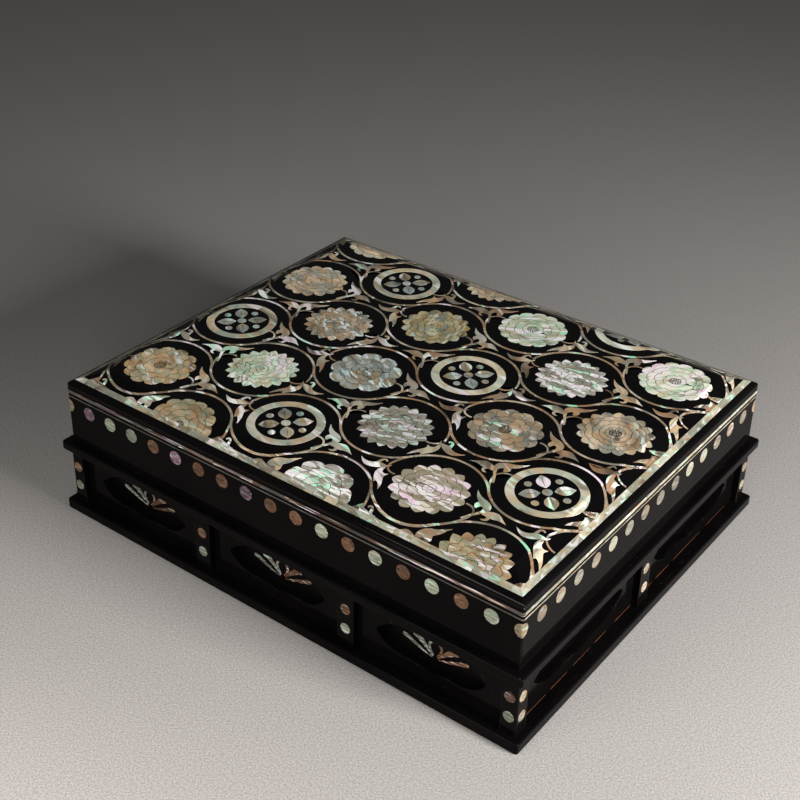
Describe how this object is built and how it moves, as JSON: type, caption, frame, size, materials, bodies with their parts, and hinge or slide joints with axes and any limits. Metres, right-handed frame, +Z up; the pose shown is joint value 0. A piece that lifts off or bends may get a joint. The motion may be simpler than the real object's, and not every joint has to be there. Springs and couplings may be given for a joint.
{
  "type": "inlaid box",
  "caption": "Low rectangular black lacquer box with a lift-off lid inlaid with shell flowers, rings and scrolling vines, on its own panelled stand.",
  "frame": {"origin": "centre of the flat underside of the plinth board, on the surface the box stands on", "axes": "+X along the long side, to the right as seen from the front; +Y towards the back; +Z up, the way the lid lifts off"},
  "size_m": [0.3096, 0.2516, 0.0906],
  "materials": {
    "lid_lacquer": "black lacquer polished to a mirror over thin boards",
    "body_lacquer": "black lacquer, glossy, a little worn at the arrises",
    "stand_lacquer": "black lacquer, satin, brown at worn edges",
    "recess_lacquer": "black lacquer, duller, brownish",
    "inner_lacquer": "plain black-brown lacquer inside the box",
    "shell_medallion": "thin polished abalone shell, iridescent, engraved",
    "shell_vine": "thin polished abalone shell, iridescent",
    "shell_border": "thin shell strips laid end to end, iridescent",
    "shell_trim": "small pieces of thin shell, iridescent"
  },
  "bodies": {
    "box_body": {"plinth_board": "stand_lacquer", "stand_top_board": "stand_lacquer", "stand_panel_front_1": "stand_lacquer", "stand_panel_front_2": "stand_lacquer", "stand_panel_front_3": "stand_lacquer", "stand_panel_right_1": "stand_lacquer", "stand_panel_right_2": "stand_lacquer", "stand_panel_back_1": "stand_lacquer", "stand_panel_back_2": "stand_lacquer", "stand_panel_back_3": "stand_lacquer", "stand_panel_left_1": "stand_lacquer", "stand_panel_left_2": "stand_lacquer", "stand_backboard_front": "recess_lacquer", "stand_backboard_right": "recess_lacquer", "stand_backboard_back": "recess_lacquer", "stand_backboard_left": "recess_lacquer", "middle_post_front_1": "stand_lacquer", "middle_post_front_2": "stand_lacquer", "middle_post_right_1": "stand_lacquer", "middle_post_back_1": "stand_lacquer", "middle_post_back_2": "stand_lacquer", "middle_post_left_1": "stand_lacquer", "corner_post_front_left": "stand_lacquer", "corner_post_front_right": "stand_lacquer", "corner_post_back_right": "stand_lacquer", "corner_post_back_left": "stand_lacquer", "post_dots": "shell_trim", "stand_palmettes": "shell_trim", "body_floor_board": "inner_lacquer", "body_wall_front": "body_lacquer", "body_wall_right": "body_lacquer", "body_wall_back": "body_lacquer", "body_wall_left": "body_lacquer", "locating_lip_front": "inner_lacquer", "locating_lip_right": "inner_lacquer", "locating_lip_back": "inner_lacquer", "locating_lip_left": "inner_lacquer", "body_dots_front": "shell_trim", "body_dots_right": "shell_trim", "body_dots_back": "shell_trim", "body_dots_left": "shell_trim", "body_rim_lines": "shell_trim"},
    "lid": {"lid_top_board": "lid_lacquer", "lid_side_front": "body_lacquer", "lid_side_right": "body_lacquer", "lid_side_back": "body_lacquer", "lid_side_left": "body_lacquer", "lid_border_strip_front": "shell_border", "lid_border_strip_right": "shell_border", "lid_border_strip_back": "shell_border", "lid_border_strip_left": "shell_border", "lid_edge_strip_front": "shell_border", "lid_edge_strip_right": "shell_border", "lid_edge_strip_back": "shell_border", "lid_edge_strip_left": "shell_border", "lid_flower_medallions": "shell_medallion", "lid_ring_medallions": "shell_medallion", "lid_vines_and_tendrils": "shell_vine", "lid_leaf_scrolls": "shell_vine"}
  },
  "joints": [
    {"name": "lid_lift", "type": "slide", "parent": "box_body", "child": "lid", "axis": [0, 0, 1], "range_m": [0, 0.06]}
  ]
}
